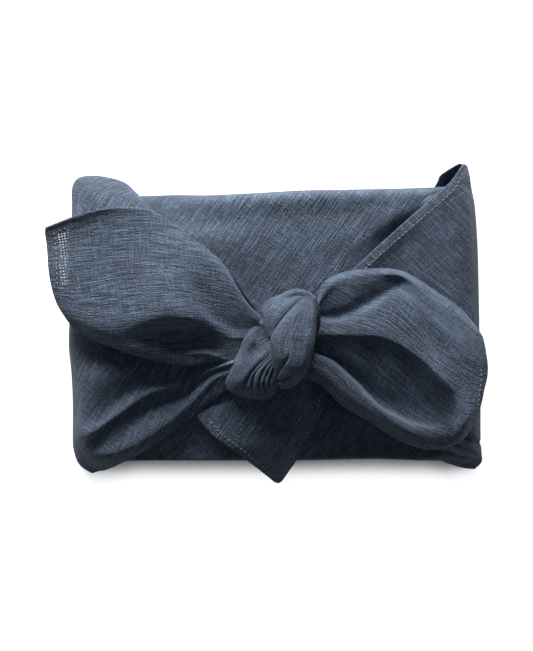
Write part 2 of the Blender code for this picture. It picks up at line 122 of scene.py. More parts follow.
LEFT_WRAP = (
    ("upper edge", (-86.2, 84.5, 4), (-87, 87.4, 12), (-84.7, 84.1, 18.5), (-79.7, 79.8, 25),
     (-69.4, 68.1, 32), (-51.2, 51.9, 39.5), (-26.9, 37.8, 43.5), (-11.3, 20.6, 45), (-3.3, 7.9, 46)),
    ("lump, right", (-96.7, 93, 4), (-97.7, 95.8, 13), (-96.1, 92.1, 20), (-90.3, 84.3, 28),
     (-76.7, 70.8, 33.5), (-55.9, 48.6, 39.5), (-31.8, 29.9, 43.7), (-14.6, 13.9, 45), (-4.9, 4, 46)),
    ("lump, top", (-115.8, 96.9, 4), (-117.3, 99.5, 13), (-115.5, 95.4, 20.5), (-108.9, 84.2, 31),
     (-87.9, 64.6, 37), (-60.5, 39.2, 40), (-33.9, 19.3, 41), (-17.9, 7.3, 43), (-5.9, -1.3, 45)),
    ("lump, left", (-128.2, 92, 4), (-130, 94.4, 14), (-126.9, 90.7, 21), (-118.2, 78.2, 31.5),
     (-97.9, 53.3, 38), (-64.5, 23.9, 40), (-35.9, 8.6, 41), (-19.2, 0, 42), (-7.3, -6, 45)),
    ("side, upper", (-129.3, 69.3, 4), (-131.4, 71.5, 14), (-128.1, 68.4, 24), (-118.8, 60.1, 33),
     (-101.2, 38.6, 38.5), (-67.8, 12, 40), (-37.2, -1.3, 40.5), (-20.6, -8, 42), (-7.9, -11.3, 45)),
    ("side", (-129.5, 11.6, 4), (-132.5, 12.1, 14), (-130.1, 7.4, 29.5), (-116.6, 4.7, 36.3),
     (-99.9, 2, 37.5), (-72.6, -6.7, 37.5), (-41.3, -13.3, 38), (-23.2, -14.6, 41), (-9.9, -14.6, 44)),
    ("dip", (-130.6, -14.9, 4), (-133.5, -15.5, 9), (-130.9, -16.8, 23.5), (-115.5, -18, 32),
     (-98, -20.7, 35), (-78, -23.3, 35), (-54.6, -23.7, 36.5), (-35.2, -20.6, 39.5), (-17.9, -18.3, 43.5)),
    ("panel", (-129, -33.1, 4), (-131.7, -34.4, 14), (-126.4, -35.4, 29.5), (-115.9, -36.6, 37.3),
     (-100.6, -34.7, 36.8), (-82, -32.4, 35), (-60.6, -28, 36.3), (-39.9, -24.6, 39.5),
     (-18.6, -21.6, 43.5)),
    ("first valley", (-128.4, -53.4, 4), (-130.7, -55.3, 14), (-125.5, -57.6, 27.5),
     (-116.8, -62.4, 32.8), (-98.5, -50.1, 31.9), (-81.1, -39.4, 33.1), (-59.3, -33, 35), (-39.9, -28, 39),
     (-19.2, -23.9, 44)),
    ("first ridge", (-128.7, -68.6, 4), (-130.8, -70.8, 13), (-126.5, -72.3, 26.8), (-117, -72.4, 35.6),
     (-97.7, -59, 35.2), (-79.9, -47, 37.2), (-57.9, -40.3, 38), (-38.5, -31.6, 41.2), (-19.9, -25.5, 46)),
    ("first ridge's side", (-129, -75.4, 4), (-131, -77.6, 12.5), (-126.7, -78.4, 25), (-117.2, -77.5, 32.8),
     (-97.5, -64.4, 32.6), (-79.7, -51.7, 34), (-57.7, -44.7, 35), (-38.2, -33.1, 40), (-19.9, -27.2, 45)),
    ("trough", (-128.9, -82, 4), (-130.8, -84.3, 12), (-125.4, -84.5, 23.5), (-116, -82.6, 30.4),
     (-97.2, -72.2, 30.6), (-79.5, -60.1, 31.8), (-57.4, -49.4, 33.4), (-37.9, -35, 39),
     (-19.9, -28.6, 44.3)),
    ("second ridge", (-127.1, -89.4, 4), (-128.9, -91.8, 11), (-122.8, -90.6, 21.5), (-114.4, -89.6, 29.2),
     (-96.8, -84.2, 32), (-78.7, -73.7, 34.4), (-56.6, -57.6, 36.8), (-36.9, -38.9, 41), (-19.9, -30.9, 44)),
    ("second ridge's side", (-124.9, -93.4, 4), (-126.6, -95.9, 10), (-120.4, -94.2, 17.5),
     (-111.9, -93.9, 24.3), (-96.6, -89, 29.2), (-78.1, -78.8, 32.4), (-55.3, -61.7, 35), (-35.9, -43.6, 39),
     (-19.6, -33.9, 43)),
    ("lower roll", (-122, -96.1, 4), (-123.6, -98.6, 9), (-117.9, -97.3, 13.5), (-109.6, -97.2, 17.8),
     (-96.8, -91.8, 25.2), (-78.9, -82.6, 30), (-55, -65.1, 33.6), (-35.6, -47.6, 37.6), (-19.2, -36.9, 42)),
    ("lower edge", (-116.8, -98.9, 4), (-118.3, -101.5, 8), (-113.4, -99.9, 10.5), (-107.9, -98.8, 13),
     (-97.1, -94.1, 20), (-79.6, -84.7, 27.6), (-55.1, -67, 31.6), (-35.6, -51.3, 36), (-19.3, -39.2, 41)),
)

RIGHT_WRAP = (
    ("hemmed edge", (133, 102.4, 4), (134.6, 105, 17), (131.4, 106.1, 28), (122.7, 94.7, 35.5),
     (108.6, 81.9, 38.5), (95.2, 70.5, 40), (78.5, 55.5, 41.5), (56.5, 35.2, 43), (33.9, 15.2, 46)),
    ("stitch line", (135, 91.9, 4), (136.7, 94.3, 16), (132.5, 93, 29.5), (125.3, 86.6, 36.5),
     (113.2, 76.6, 38.7), (100.5, 65.2, 39.8), (84.5, 51.9, 41), (63.2, 32.6, 42.3), (36.5, 12.6, 46)),
    ("slack", (138.5, 72, 4), (140.6, 74.2, 14), (135.7, 72.9, 30.5), (126, 67.3, 37), (113.9, 59.9, 38),
     (100.6, 51.9, 38.5), (85.9, 41.9, 39), (67.2, 24.6, 40), (39.2, 3.3, 44)),
    ("side panel", (139.7, 19.4, 4), (142.6, 20.2, 14), (137.8, 20.1, 30), (127.4, 18, 35.5), (115.4, 14, 36),
     (102, 8.7, 36), (86, 0.7, 36.5), (65.3, -8, 37.5), (36.6, -10, 43)),
    ("under the end", (141, -39, 4), (143.6, -40.4, 14), (138.1, -40.1, 29.5), (127.5, -40, 34),
     (115.4, -40, 35), (100.7, -39.3, 35.5), (84, -38, 36.5), (63.3, -34, 37.5), (35.3, -18, 42)),
    ("foot crease", (142.2, -74.1, 4), (144.3, -76.2, 13), (139.5, -74.7, 25), (129.7, -72.2, 30.5),
     (116.8, -68.1, 33.5), (102.1, -62.7, 34.5), (84.1, -56.7, 35.5), (62, -46, 36.5), (32, -24.6, 41)),
    ("foot puff", (143, -85.7, 4), (144.9, -88, 13), (140.4, -86.8, 25.5), (130.9, -84.1, 33),
     (118.1, -78.7, 35.3), (102.1, -71, 35.5), (84, -63.3, 36), (62, -51.3, 37), (30, -28.6, 41)),
    ("foot", (143.4, -91.8, 4), (145.3, -94.1, 5), (140.2, -92, 14), (130.6, -89.3, 21.5),
     (116.6, -84.7, 26.5), (99.5, -75.7, 34), (82.1, -66.4, 35.5), (60.7, -54, 36.5), (28.6, -30.6, 40.5)),
    ("lower edge", (139.2, -96.4, 4), (141, -98.8, 3), (134.6, -98.3, 7), (125.9, -95.8, 11.5),
     (114.4, -91, 18), (97.6, -80.8, 32), (80.8, -69.4, 34.5), (60, -56, 36), (28, -32.6, 40)),
)

TOP_FLAP = (
    ("left hem", (-95.3, 82.9, 4), (-96.4, 85.7, 12), (-94.1, 80.7, 18), (-87.2, 63.7, 24), (-80.9, 45.5, 29),
     (-71.4, 8.7, 34), (-55.4, -43.4, 31.5), (-41.3, -70.1, 33.6), (-18, -88.9, 30), (4.1, -106.5, 14)),
    ("left", (-59.9, 83.3, 4), (-59.9, 86.3, 14), (-59, 81.2, 24), (-53.4, 67.5, 32), (-43.9, 51.2, 40.5),
     (-33.9, 12, 40.5), (-26, -34.7, 35.8), (-18, -64, 35.4), (-6, -87.5, 31.8), (5.8, -107.4, 14)),
    ("left middle", (-26.2, 83.6, 4), (-26.2, 86.6, 14), (-26, 83, 35.5), (-20.6, 67.2, 39.4),
     (-15.2, 51.1, 43.1), (-6.6, 15.3, 40.3), (-7.3, -37.9, 40), (-6, -64.6, 37), (-0.6, -88.1, 33),
     (6.8, -107.7, 14)),
    ("middle", (12.2, 85.6, 4), (12.2, 88.6, 14), (12, 85.3, 37.6), (12.7, 69.9, 39.6), (13.3, 48.5, 40.9),
     (10.7, 12, 41), (7.3, -37.9, 40.5), (4.7, -64.6, 37.4), (4.7, -88.8, 33.2), (8.1, -107.8, 14)),
    ("right", (47.9, 86.7, 4), (47.9, 89.7, 14), (46.7, 86.3, 37.6), (44.6, 71.2, 39.6), (40.6, 48.5, 41.4),
     (33.9, 15.3, 41), (26.7, -31.3, 39.5), (16.7, -61.3, 36.9), (12.1, -87.5, 32.6), (9.1, -107.2, 14)),
    ("dip's edge", (102.2, 88.3, 4), (103.2, 91.1, 13), (99.6, 87.6, 31), (86.7, 76.6, 37),
     (70.6, 60.5, 39.8), (52.6, 41.9, 41.5), (32.7, -11.3, 38.5), (22.7, -58, 36), (15.4, -86.2, 31.8),
     (10.1, -106.5, 14)),
    ("under the side wrap", (120, 89.2, 4), (121.5, 91.8, 12), (119.5, 89.3, 23), (103.6, 76.2, 32),
     (84.2, 57.4, 33), (61.3, 35.3, 39), (42, -11.3, 37), (30.7, -54.7, 35.5), (20.8, -85, 28.5),
     (11, -105.4, 14.5)),
    ("right hem", (125.8, 89.2, 4), (127.4, 91.7, 14), (125.6, 86.6, 22), (111.8, 71, 28), (91.6, 50.8, 31.5),
     (70.1, 15.3, 34), (50, -21.3, 36), (40.1, -50.7, 35), (26.1, -82.3, 29), (11.8, -104.4, 15)),
)

KNOT_FRONT = (
    ("left edge, tucked", (23.8, 16.2, 53), (13.2, 6.6, 59), (5.6, -3.6, 61), (2, -11.2, 60.5),
     (2.7, -19.1, 59.5), (4, -27.1, 58), (5.6, -34.4, 54.5), (6.3, -39.8, 49)),
    ("left edge", (24.4, 16.5, 57), (14.2, 6.5, 64), (6.3, -4, 66.5), (2.7, -11.8, 66.5), (3.3, -19.7, 65.5),
     (5.3, -27, 64), (6.9, -33.9, 61), (7, -39.6, 55)),
    ("left crest", (26.4, 16.5, 58), (19.1, 6.5, 67), (13.1, -4.6, 69.5), (9.9, -14.4, 70), (10.5, -23, 69.6),
     (11.8, -29.6, 67.2), (10.9, -35.9, 63.3), (7.6, -40.9, 56.5)),
    ("right crest", (28.4, 16.5, 57.5), (26.3, 6.5, 66), (23.6, -5.3, 69.5), (21.7, -17.1, 69.8),
     (19.7, -25.6, 69.3), (17.1, -32.5, 66.8), (13.2, -38.2, 61.5), (8.3, -42, 54.5)),
    ("right side", (30.4, 16.5, 54), (30.7, 5.9, 63), (30.4, -5.3, 66.5), (28.9, -17.1, 67.3),
     (26.6, -26, 66.2), (22.7, -33.9, 62.6), (15.9, -40.6, 55), (8.6, -43.1, 49.5)),
    ("right edge", (32.2, 16.2, 47), (33, 5.9, 52), (32.6, -5.3, 54), (31.3, -17.2, 54), (29, -26.8, 52),
     (24.6, -35.7, 47.5), (17, -42.7, 44.5), (8.7, -44.5, 43)),
)

KNOT_BACK = (
    ("outer edge", (-0.6, -10, 46), (-2.3, -1.3, 46), (-3.3, 7.9, 46), (0, 14.6, 46), (9.3, 19.2, 45.5),
     (18.6, 22.9, 45.5), (27.9, 20.9, 45), (32.9, 16.9, 44)),
    ("outer slope", (0.4, -9.3, 51), (-1, -1.3, 52), (-1.6, 7.3, 52.5), (1.7, 13.2, 52), (10.6, 17.5, 51.5),
     (19.2, 21.2, 51), (27.8, 19.8, 50), (32.5, 16.6, 48)),
    ("crest", (1.7, -8.9, 55), (2, -1.3, 57), (2.7, 5.6, 57.5), (6.3, 11.2, 57.5), (12.9, 15.2, 56),
     (19.8, 18.6, 54.5), (27.5, 18.5, 53), (31.8, 16.2, 51)),
    ("inner slope", (4, -8.3, 58), (6, -1.3, 61), (7.9, 3.6, 62), (11.2, 8.2, 62), (15.8, 12.2, 60.5),
     (21.1, 16.5, 57.5), (27.1, 17.1, 55), (31.1, 15.9, 52.5)),
    ("inner edge", (6.6, -7.9, 57.5), (9.6, -2.7, 60), (11.9, 1.6, 60.5), (15.2, 5.6, 60.5), (19.1, 9.2, 59),
     (23.1, 13.5, 57), (27.1, 15.2, 55), (30.5, 15.2, 52)),
)

KNOT_PLEATS = (
    ("upper edge", (8.6, -1.3, 48), (0.7, 2.3, 47), (-6.6, 3, 45.5), (-11.6, 1.7, 41)),
    ("top lobe", (8.6, -4.6, 50.5), (0.7, -2, 50.5), (-7.2, -1.7, 50.5), (-13.9, -2.7, 42)),
    ("dip", (9.3, -11.3, 53), (-0.6, -9.3, 51.5), (-10.5, -9.6, 53.6), (-18.2, -10.6, 42)),
    ("broad lobe", (9.9, -16.5, 56), (-3.3, -17.5, 52.6), (-13.9, -19.5, 51.9), (-21.6, -21.3, 42)),
    ("broad lobe, low", (10.6, -19.8, 58), (-4.6, -24.4, 55.6), (-15.8, -29.4, 53.2), (-26.6, -34.2, 41.5)),
    ("outer corner", (11.2, -22.4, 59), (-4.6, -29, 57.2), (-16.5, -36.4, 52.8), (-27.6, -40.9, 41)),
    ("lower lobe", (11.9, -24.4, 59.5), (-2.6, -31.7, 57.5), (-13.9, -40.4, 52.4), (-23.2, -46.9, 41)),
    ("pleats", (12.5, -26.4, 59.5), (0, -33, 57.7), (-9.2, -42.3, 53.2), (-13.9, -49.9, 41)),
    ("pleats, inner", (13.2, -28.4, 59), (2.7, -35, 57.5), (-2.6, -43.3, 54), (-5.3, -51.9, 41)),
    ("last pleat", (13.9, -30.4, 58), (6, -37.6, 56.5), (3, -43.6, 53), (2, -50.2, 41)),
    ("lower edge", (14.5, -31.7, 57), (9.3, -39, 54.5), (7.6, -41.7, 50), (7.3, -44.5, 42)),
)

PEAK = (
    ("root", (106.5, 80.9, 14), (125.2, 79.2, 6), (138.7, 78.8, 17), (126.2, 78.1, 34), (104.6, 75.9, 38)),
    ("mouth", (114.6, 94, 15), (126.5, 92.6, 8), (136.3, 92.9, 17), (131.1, 91.6, 30), (117.4, 89.7, 36)),
    ("middle", (117.5, 99.3, 17), (126.9, 99.9, 12), (135.2, 99.5, 19), (131.5, 99, 29), (124.2, 95.8, 34)),
    ("tip", (127.7, 105.5, 20), (130.5, 106.6, 18), (133.8, 105.5, 20), (132.4, 105.2, 25),
     (129.2, 103.8, 28)),
)

# Each crease: its path over the front, how far it rises, and its widths to the left and right.
KNOT_FRONT_CREASES = (
    ("tuck", ((15.2, -19.1), (13.2, -24.4), (9.9, -29), (6.9, -33.6), (5, -38.9)), -1.5, 0.7, 1.3),
    ("slit under the curl", ((2.7, -39.3), (7.3, -38.6), (11.2, -38), (15.2, -35.7), (17.8, -33)),
     -1.7, 0.8, 0.8),
)

KNOT_BACK_CREASES = (
    ("rim's slit", ((11.3, 15.8), (14.6, 18.1), (18.5, 19.4), (23.1, 19.2), (27.8, 18.1), (31.7, 16.2)),
     -2.4, 0.8, 1.1),
)

KNOT_PLEATS_CREASES = (
    ("first pleat", ((6, -16.5), (0.7, -20.5), (-5.9, -26.4), (-11.8, -34), (-15.5, -41.6), (-18.1, -48.8)),
     -2.2, 1.9, 0.8),
    ("second pleat", ((6.6, -18.5), (0.7, -22.8), (-5.2, -28.7), (-9.2, -35.3), (-10.2, -42.2),
     (-8.5, -50.8)), -2.2, 1.5, 0.7),
    ("third pleat", ((7.3, -20.5), (2, -25.1), (-2.6, -31), (-5.2, -37.6), (-5.2, -44.2), (-1.9, -52.1)),
     -2.0, 1.3, 0.6),
    ("fourth pleat", ((7.9, -23.1), (3.3, -27.1), (0, -32.7), (-2.3, -39.6), (-1.6, -45.5), (0.7, -51.4)),
     -1.7, 1.0, 0.5),
    ("fifth pleat", ((7.9, -24.4), (5, -29), (3, -34.3), (1.3, -40.9), (2.7, -48.2)), -1.6, 1.0, 0.5),
    ("top dip", ((3.3, 0.6), (-1.3, -3.3), (-5.2, -7.9), (-9.9, -11.9)), -1.0, 3.5, 3.5),
)

RIGHT_WRAP_CREASES = (
    ("first foot crease", ((123.7, -72.9), (129.1, -75.2), (135.8, -77.9), (142.5, -79.9), (146.5, -80.9)),
     -1.8, 1.2, 2.2),
    ("second foot crease", ((115.9, -83.1), (122.6, -87.1), (129.3, -91.1), (136, -94.8), (142.7, -98.5)),
     -1.6, 1.0, 2.2),
)

LEFT_WRAP_CREASES = (
    ("tuck beside the left end", ((-29.8, 39.2), (-22.7, 27.9), (-16.6, 18.2), (-11.3, 10.9), (-4, 5)),
     -2.6, 1.3, 1.3),
    ("third fold's crease", ((-28.6, -34.6), (-34.6, -39.6), (-39.9, -45.6), (-45.3, -53.6), (-50.6, -62.9)),
     -1.5, 0.9, 0.9),
)

LEFT_END_CREASES = (
    ("small ridge", ((-59, -21.2), (-51, -19.9), (-41.1, -19.6), (-32.5, -22.2), (-23.2, -26.5)),
     1.2, 1.5, 2.0),
)

# The parcel's outline, anticlockwise from the middle of the right side: x, y, how high it is widest,
# how high its front starts, and how far in.
OUTLINE = (
    # the right side
    (139.7, 0, 16, 35, 12), (137.9, 44.3, 16, 35, 12), (136.6, 77, 17, 34, 12),
    # the right peak's root
    (130.8, 86.9, 18, 32, 11),
    # the top edge
    (111.5, 88.8, 17, 33, 10), (70, 86.2, 17, 33, 11), (20, 85.2, 17, 33, 11), (-40, 83.2, 15, 26, 12),
    (-79.7, 83.2, 13, 20, 12),
    # the lump at the top left
    (-90.6, 89.8, 12, 19, 8), (-100.5, 95.8, 12, 19, 8), (-113.4, 97.4, 12, 19, 8),
    (-125.3, 92.9, 12, 19, 8),
    # the left side
    (-128.6, 77, 15, 32, 12), (-128.4, 39.3, 16, 34, 12), (-129.2, -11.8, 14, 27, 13),
    (-126.4, -44.3, 15, 29, 13), (-127.6, -74, 14, 26, 13),
    # the left foot
    (-126.2, -89.9, 12, 20, 13), (-115.9, -97.4, 10, 20, 10), (-103.5, -94.3, 12, 23, 9),
    # the bottom edge
    (-88, -92.6, 20, 22, 2), (-40, -92.4, 20, 24, 2), (20, -92.4, 20, 26, 2), (70, -91.4, 20, 26, 2),
    (105, -92.4, 20, 26, 2),
    # the right foot
    (123.4, -92.9, 12, 24, 9), (136.7, -93.9, 11, 22, 9), (140.7, -83, 13, 28, 11),
    # the notch in the right side
    (139.5, -55.2, 16, 34, 12),
)
SPINE = (-62, 70)  # the line along the parcel's middle that its faces close on
FRONT = 29.5  # the height of its front
CROWN = 3.5  # how far the front's middle stands above that
CROWN_HALF = (150, 100)
CROWN_SLOPE = 3.2  # how soon the front comes up to its crown
PARCEL_STEPS = (300, 60)  # round the parcel, and down it
OUTLINE_STEPS = 12  # from one place of its outline to the next
SIDE_SHARE = 0.5  # of the steps down the parcel, to make its rounded side

EDGE_STEPS = (0.15, 0.35, 0.6)  # where lines are added close to a cloth's edges
PATH_STEPS = 24  # along the path of a crease
PATH_TAPER = 0.3  # the share of the path on which the crease comes or goes
UNEVEN_STEPS = 40  # the most lines each way that it is worked out on
UNEVEN_SHIFT = (7.3, 3.1, 1.7)  # from one seed to the next
GATHER_PERCENT = 80  # of the lines across a gathered layer are no longer than its width
FOLD_SHARE = 0.4  # how much an end's threads follow its folds
HEM_FADE = 0.06  # the share of an edge on which its hem comes or goes
HEM_STEP = 1.6  # the width of the step down from a hem
EDGE_ROLL = 0.9  # how wide a hem's rolled edge is, and how far it turns down
STITCH_INSET = 1.0  # from a hem's inner edge to its stitches
STITCH_AHEAD = 0.5  # how far ahead a stitch points
STITCH_RISE = 0.15  # how far a stitch stands out, in its own widths
OPEN_START = (-128.5, 18)  # the weave opens to the left of here and above
OPEN_FADE = (6, 10, 1.2)  # on these distances: left, up, and from a hem

# How often each part of the weave changes along U and V, per thread, and its detail.
THREADS = {
    "along": (0.08, 1, 2), "across": (1, 0.1, 2), "pebble": (1.3, 1.3, 1),
    "slub": (0.04, 0.75, 1), "cross slub": (0.7, 0.05, 1),
}
PATCHES = (25, 32)  # how often the whole cloth's tone changes, per metre
SLUBS = {
    "thick": ("slub", 0.58, 0.74), "thin": ("slub", 0.42, 0.26), "cross thick": ("cross slub", 0.62, 0.76),
}
TONE = {
    "along": 0.5, "across": 0.37, "pebble": 0.52, "thick": 0.12, "thin": -0.14, "cross thick": 0.08,
    "patch": 0.18,
}
TONE_RANGE = (0.68, 0.9)
RELIEF = {"along": 1.1, "across": 0.8, "pebble": 1.3, "thick": 0.25, "thin": -0.25, "cross thick": 0.15}
RELIEF_DEPTH = 0.58  # in threads
HOLE_PITCH = 1.9  # from one hole to the next, in threads
HOLE_WAVES = ((-0.9, 0.3), (-0.2, 0.6))  # where a hole opens, on waves along U and V
HOLE_PEBBLE = (0.35, 0.55)  # and on the weave's pebble
HOLE_CLEAR = 0.8
TWIST = 2600.0  # how often the sewing thread's tone changes, per metre
PAINTED_STRAND_SHADE = 0.6  # how dark the painted shade between its strands is

FLOOR_HALF = 3.0
FLOOR_HEIGHT = -0.0004
# The floor's painted shadow: its glow is dimmed where the wrap stands close, on the side away from the key.
SHADOW_REACH = 0.018  # how far the painted shadow in the floor's glow reaches from the wrap
SHADOW_SIDE = {"Y": 0.97, "Z": 0.25}  # the side that the wrap stands on, for floor points under its painted shadow
SHADOW_DEPTH = 1.72
SHADOW_CURVE = 3.1
GLOW = (0.86, 0.08)  # the floor's own light: what is only seen, and what lights things
KEY_PLACE = (-0.16, 0.95, 0.415)
KEY_SIZE = (0.9, 0.25)
KEY_POWER = 23.5
SKY = 0.122
SKY_COLOUR = (0.82, 0.9, 1.0, 1)
CAMERA_PLACE = (-0.0003, -0.00167, 2.036)
CAMERA_DISTANCE = 2.0  # from the lens down to the front
FRAME_HEIGHT = 0.434  # what the lens takes in there, from top to bottom

NETS = {}  # each sheet's points, kept for its stitches


def knot_weights(knots, count, near=()):
    """How much each knot of a smooth curve counts at count even places along it, and near its ends."""
    places = np.linspace(0, knots - 1, count)
    near = places[1] * np.array(near)
    places = np.sort(np.concatenate([places, near, places[-1] - near]))
    start = np.minimum(places.astype(int), knots - 2)
    t = places - start
    shares = (
        (-t + 2 * t**2 - t**3) / 2,
        (2 - 5 * t**2 + 3 * t**3) / 2,
        (t + 4 * t**2 - 3 * t**3) / 2,
        (t**3 - t**2) / 2,
    )
    table = np.zeros((len(places), knots + 2))
    for i, share in enumerate(shares):
        table[np.arange(len(places)), start + i] += share
    inner = table[:, 1:-1].copy()
    inner[:, 0] += 2 * table[:, 0]
    inner[:, 1] -= table[:, 0]
    inner[:, -1] += 2 * table[:, -1]
    inner[:, -2] -= table[:, -1]
    return inner


def net(folds, across, along):
    """Points in mm on the smooth surface through a table's folds, and more where its edges roll."""
    knots = np.array([fold[1:] for fold in folds], float)
    down = knot_weights(len(knots), across, EDGE_STEPS)
    right = knot_weights(knots.shape[1], along, EDGE_STEPS)
    return np.einsum("ai,ijk,bj->abk", down, knots, right)


def facing(points):
    """The direction square to a net's surface at each place, on its front side."""
    down, right = np.gradient(points, axis=(0, 1))
    normal = np.cross(right, down)
    normal /= np.linalg.norm(normal, axis=2, keepdims=True)
    return -normal if normal[..., 2].mean() < 0 else normal


def steps(points, axis):
    """The distance along a net's lines from their first point, in mm."""
    lengths = np.linalg.norm(np.diff(points, axis=axis), axis=2)
    start = np.take(lengths, [0], axis=axis) * 0
    return np.concatenate([start, np.cumsum(lengths, axis=axis)], axis=axis)


def smooth(share):
    """A share from 0 to 1, made to start and stop softly."""
    share = np.clip(share, 0, 1)
    return share * share * (3 - 2 * share)


def crease(points, path, height, left, right):
    """The rise of a soft ridge, or of a trough, along a path over the front."""
    path = np.array(path, float)
    line = knot_weights(len(path), PATH_STEPS) @ path
    nearest = np.argmin(((points[..., None, :2] - line) ** 2).sum(axis=-1), axis=-1)
    ahead = np.gradient(line, axis=0)
    ahead /= np.linalg.norm(ahead, axis=1, keepdims=True)
    gap = points[..., :2] - line[nearest]
    heading = ahead[nearest]
    side = heading[..., 0] * gap[..., 1] - heading[..., 1] * gap[..., 0]
    past = (gap * heading).sum(axis=-1)
    width = np.where(side > 0, left, right)
    place = nearest / (PATH_STEPS - 1)
    taper = smooth(place / PATH_TAPER) * smooth((1 - place) / PATH_TAPER)
    return height * taper * np.exp(-((side / width) ** 2) - (past / width) ** 2)


def unevenness(points, size, height, seed):
    """Small irregular rises and dips, about size apart."""
    rows, columns = points.shape[:2]
    coarse = points[:: -(-rows // UNEVEN_STEPS), :: -(-columns // UNEVEN_STEPS)]
    shift = Vector([seed * part for part in UNEVEN_SHIFT])
    rise = np.array([[noise.noise(Vector(place) / size + shift) for place in line] for line in coarse])
    down = knot_weights(len(rise), rows)
    right = knot_weights(rise.shape[1], columns)
    return height * down @ rise @ right.T


def turned(places, degrees):
    """Flat places turned to lie along the threads, in metres."""
    turn = math.radians(degrees)
    x, y = places[..., 0], places[..., 1]
    along = x * math.cos(turn) + y * math.sin(turn)
    across = y * math.cos(turn) - x * math.sin(turn)
    return np.stack([along, across], -1) * MM


def flat_grain(points, degrees):
    """Thread coordinates of a layer that lies over the front and on round the sides."""
    out = points[..., :2].copy()
    out[..., 0] -= np.clip(out[..., 0], *SPINE)
    out /= np.maximum(np.linalg.norm(out, axis=-1, keepdims=True), 1e-6)
    drop = np.maximum(FRONT - points[..., 2:], 0)
    return turned(points[..., :2] + out * drop, degrees)


def fold_grain(points, degrees=0.0):
    """Thread coordinates of a gathered layer, along its folds and across them."""
    rows = len(points)
    along = steps(points, 1).mean(axis=0)
    down = np.arange(rows) / (rows - 1) * np.percentile(steps(points, 0)[-1], GATHER_PERCENT)
    return turned(np.stack(np.meshgrid(along, down), -1), degrees)


def mixed_grain(points, degrees, way):
    """Thread coordinates between the folds' own, which run way to the right, and a flat layer's."""
    folds = fold_grain(points) * (way, -1) / MM
    return turned(folds, degrees) * FOLD_SHARE + flat_grain(points, degrees) * (1 - FOLD_SHARE)


def finish_piece(obj, material):
    """Gives a piece its material and its body, and hides the imported part it stands for."""
    obj.data.materials.append(material)
    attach(obj, "root")
    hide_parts(NODE)
    return obj


def to_object(name, mesh):
    """A smooth piece of that name, made from a mesh."""
    for face in mesh.faces:
        face.smooth = True
    data = bpy.data.meshes.new(name)
    mesh.to_mesh(data)
    mesh.free()
    obj = bpy.data.objects.new(name, data)
    bpy.context.scene.collection.objects.link(obj)
    return obj


def cloth(name, points, grain, thickness, open_share=None):
    """A sheet of cloth on a net of points, with its thread coordinates as its UV map."""
    rows, columns = points.shape[:2]
    mesh = bmesh.new()
    bmesh.ops.create_grid(mesh, x_segments=columns - 1, y_segments=rows - 1, size=0.5)
    mesh.loops.layers.uv.new("weave")
    obj = to_object(name, mesh)
    data = obj.data
    data.vertices.foreach_set("co", (points[::-1] * MM).ravel())  # a grid starts with its last line
    corners = np.empty(len(data.loops), np.int32)
    data.loops.foreach_get("vertex_index", corners)
    data.uv_layers["weave"].data.foreach_set("uv", grain[::-1].reshape(-1, 2)[corners].ravel())
    if open_share is not None:
        weights = data.attributes.new("open_weave", "FLOAT", "POINT")
        weights.data.foreach_set("value", open_share[::-1].ravel().astype(np.float32))
    data.update()
    if sum(face.normal.z * face.area for face in data.polygons) < 0:
        data.flip_normals()
    wall = obj.modifiers.new("thickness", "SOLIDIFY")
    wall.thickness = thickness
    wall.offset = -1.0
    return obj


def from_edge(points, edge):
    """The net turned so that its first or last fold, or the far end of them all, comes first."""
    if edge == "far":
        points = np.swapaxes(points, 0, 1)
    return points if edge == "first" else points[::-1]


def edge_gap(points, edge):
    """The distance of each place on a net from one of its edges, in mm."""
    gap = steps(from_edge(points, edge), 0)
    gap = gap if edge == "first" else gap[::-1]
    return gap.T if edge == "far" else gap


def hem(points, edges, sizes):
    """The rise of a turned hem along the named edges, each on a share of its length, with a rolled edge."""
    rise = np.zeros(points.shape[:2])
    for edge, first, last in edges:
        gap = edge_gap(points, edge)
        across = edge == "far"
        along = np.linspace(0, 1, gap.shape[0 if across else 1])
        part = smooth((along - first) / HEM_FADE + 0.5) * smooth((last - along) / HEM_FADE + 0.5)
        band = smooth((sizes.hem_width / MM - gap) / HEM_STEP + 0.5) * sizes.hem_rise / MM
        rise = np.maximum(rise, (part[:, None] if across else part) * band)
    for edge, _, _ in edges:
        rise = rise - EDGE_ROLL * np.clip(1 - edge_gap(points, edge) / EDGE_ROLL, 0, 1) ** 2
    return rise


def place_at(distance, lengths, line):
    """The place, or direction, at a distance along a line."""
    return np.array([np.interp(distance, lengths, line[:, k]) for k in range(3)])


def stitch_row(mesh, points, edge, sizes, first, last):
    """Adds a row of stitches to a mesh, along a net's hem, on the share of it from first to last."""
    rows = from_edge(points, edge)
    gaps = steps(rows, 0)
    inset = sizes.hem_width / MM - STITCH_INSET
    line = np.array([place_at(inset, gaps[:, j], rows[:, j]) for j in range(rows.shape[1])])
    normals = from_edge(facing(points), edge)[0]
    lengths = steps(line[None], 1)[0]
    pitch = sizes.stitch_pitch / MM
    for distance in np.arange(lengths[-1] * first + pitch, lengths[-1] * last - pitch, pitch):
        centre = place_at(distance, lengths, line)
        along = Vector(place_at(distance + STITCH_AHEAD, lengths, line) - centre).normalized()
        up = Vector(place_at(distance, lengths, normals))
        side = up.cross(along).normalized()
        up = along.cross(side)
        turn = Matrix((along, side, up)).transposed().to_4x4()
        size = Matrix.Diagonal((sizes.stitch_length / 2, sizes.stitch_width / 2, sizes.stitch_width / 2, 1))
        place = Matrix.Translation(Vector(centre) * MM + up * sizes.stitch_width * STITCH_RISE)
        bmesh.ops.create_uvsphere(mesh, u_segments=8, v_segments=4, radius=1.0, matrix=place @ turn @ size)


def feed(tree, node, inputs):
    """Gives a node's inputs, by name or number, plain values or the outputs of other nodes."""
    for key, value in inputs.items():
        if isinstance(value, bpy.types.NodeSocket):
            tree.links.new(value, node.inputs[key])
        else:
            node.inputs[key].default_value = value


